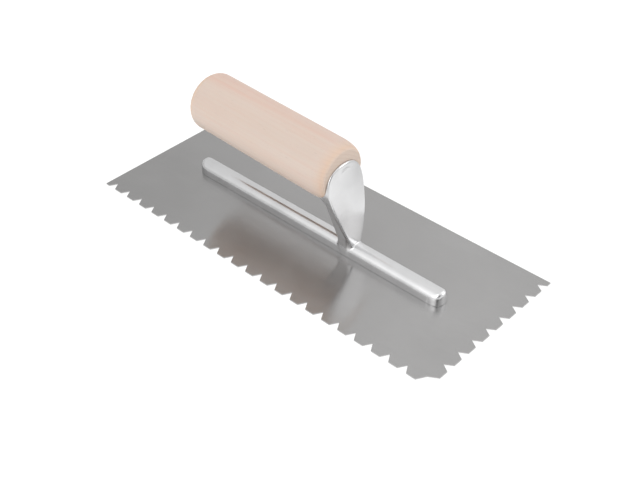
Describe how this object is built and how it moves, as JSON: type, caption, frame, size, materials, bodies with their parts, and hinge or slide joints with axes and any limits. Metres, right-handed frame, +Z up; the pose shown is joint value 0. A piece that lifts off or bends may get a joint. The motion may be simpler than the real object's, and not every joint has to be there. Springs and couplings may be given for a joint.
{
  "type": "notched trowel",
  "caption": "Hand trowel with a thin rectangular steel blade, V notches on one long and one short edge, a riveted cast bar mounting and a turned wooden handle on a raised neck.",
  "frame": {"origin": "centre of the blade's underside, measured over the full blade", "axes": "+X along the blade towards the notched short edge, +Y towards the plain long edge, +Z up from the blade to the handle"},
  "size_m": [0.2794, 0.1142, 0.0797],
  "materials": {
    "blade_steel": "rolled spring steel with a fine lengthwise grain, semi-gloss",
    "cast_mounting": "polished casting",
    "handle_wood": "pale turned hardwood, sanded, with a thin clear coat",
    "rivet_steel": "ground flush",
    "plated_steel": "zinc plated"
  },
  "bodies": {
    "root": {"blade": "blade_steel", "mounting": "cast_mounting", "handle": "handle_wood", "handle_stud": "plated_steel", "washer": "plated_steel", "nut": "plated_steel", "rivet_1": "rivet_steel", "rivet_2": "rivet_steel", "rivet_3": "rivet_steel", "rivet_4": "rivet_steel", "rivet_5": "rivet_steel", "rivet_6": "rivet_steel"}
  },
  "joints": []
}
